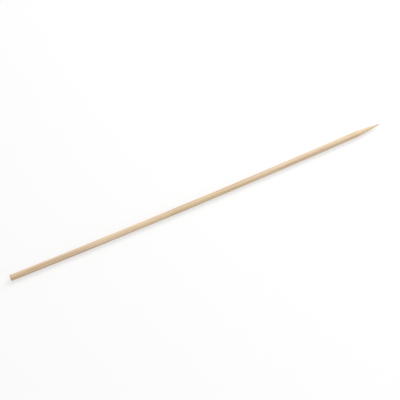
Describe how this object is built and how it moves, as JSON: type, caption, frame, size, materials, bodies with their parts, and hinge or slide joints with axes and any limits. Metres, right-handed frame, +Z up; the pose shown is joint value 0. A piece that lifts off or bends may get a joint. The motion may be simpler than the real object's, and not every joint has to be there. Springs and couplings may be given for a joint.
{
  "type": "bamboo skewer",
  "caption": "Thin round bamboo stick with one end ground to a point and the other sawn square, for threading and grilling food.",
  "frame": {"origin": "under the middle of the stick, on the surface that it lies on", "axes": "+X along the stick towards its point, +Z up from the surface that it lies on; the stick bows towards -Y"},
  "size_m": [0.2, 0.004, 0.003],
  "materials": {
    "bamboo": "pale dried bamboo, planed round and tumbled smooth, with fine lengthwise fibres and a faint sheen"
  },
  "bodies": {
    "root": {"skewer": "bamboo"}
  },
  "joints": []
}
